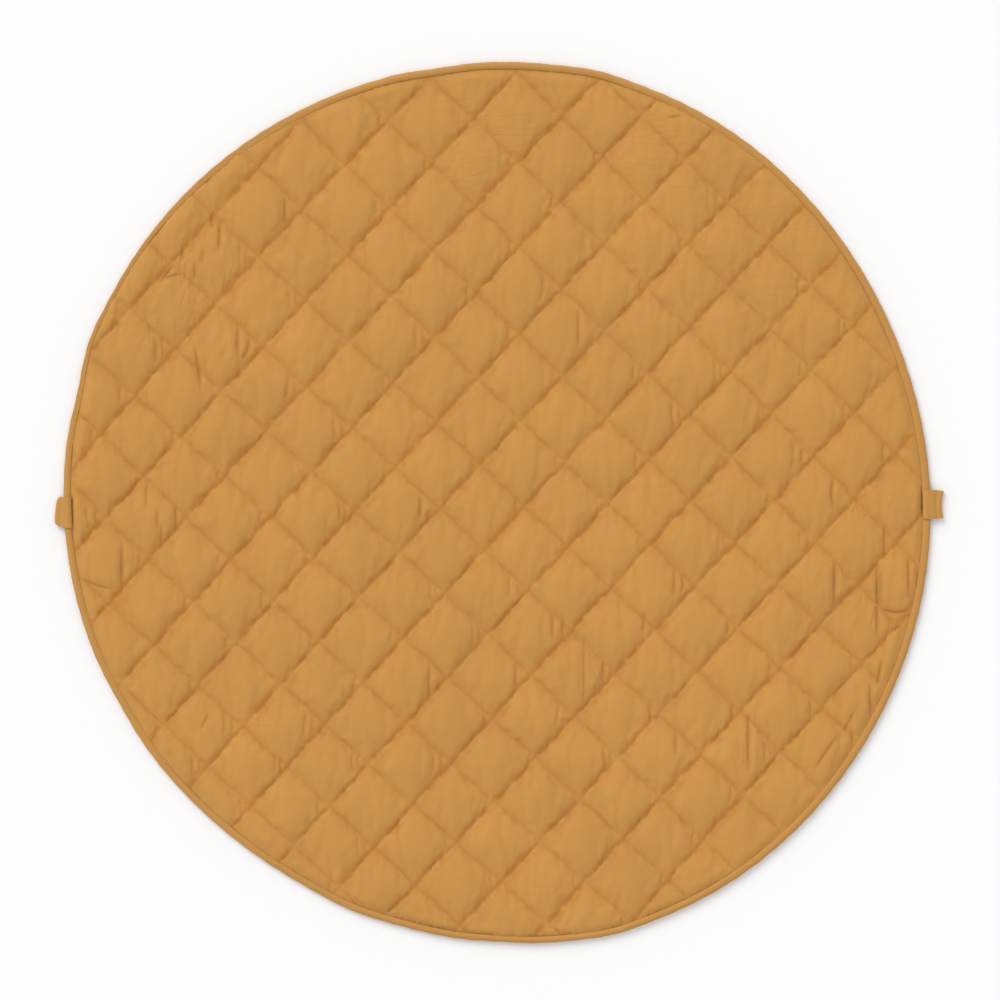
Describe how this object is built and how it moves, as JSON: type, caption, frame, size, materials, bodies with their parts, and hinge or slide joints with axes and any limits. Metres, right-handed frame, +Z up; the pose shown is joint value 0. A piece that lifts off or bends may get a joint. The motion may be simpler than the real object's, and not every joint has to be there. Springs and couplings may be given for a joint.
{
  "type": "quilted play mat bag",
  "caption": "Round quilted cotton mat bag, laid open flat, with diamond quilting, a rolled edge binding and a folded cloth tab at its left and right edge.",
  "frame": {"origin": "on the floor under the middle of the open mat: the bottom centre of its bounding box", "axes": "+Z up out of the quilted upper face, +X to the right tab, +Y to the top of the picture"},
  "size_m": [1.2232, 1.2116, 0.012],
  "materials": {
    "panel": "matt plain-weave cotton, ochre, quilted",
    "binding": "matt plain-weave cotton, ochre, cut on the bias and rolled",
    "tab": "matt plain-weave cotton, ochre, doubled strip"
  },
  "bodies": {
    "root": {"quilted_panel": "panel", "edge_binding": "binding", "left_tab": "tab", "right_tab": "tab"}
  },
  "joints": []
}
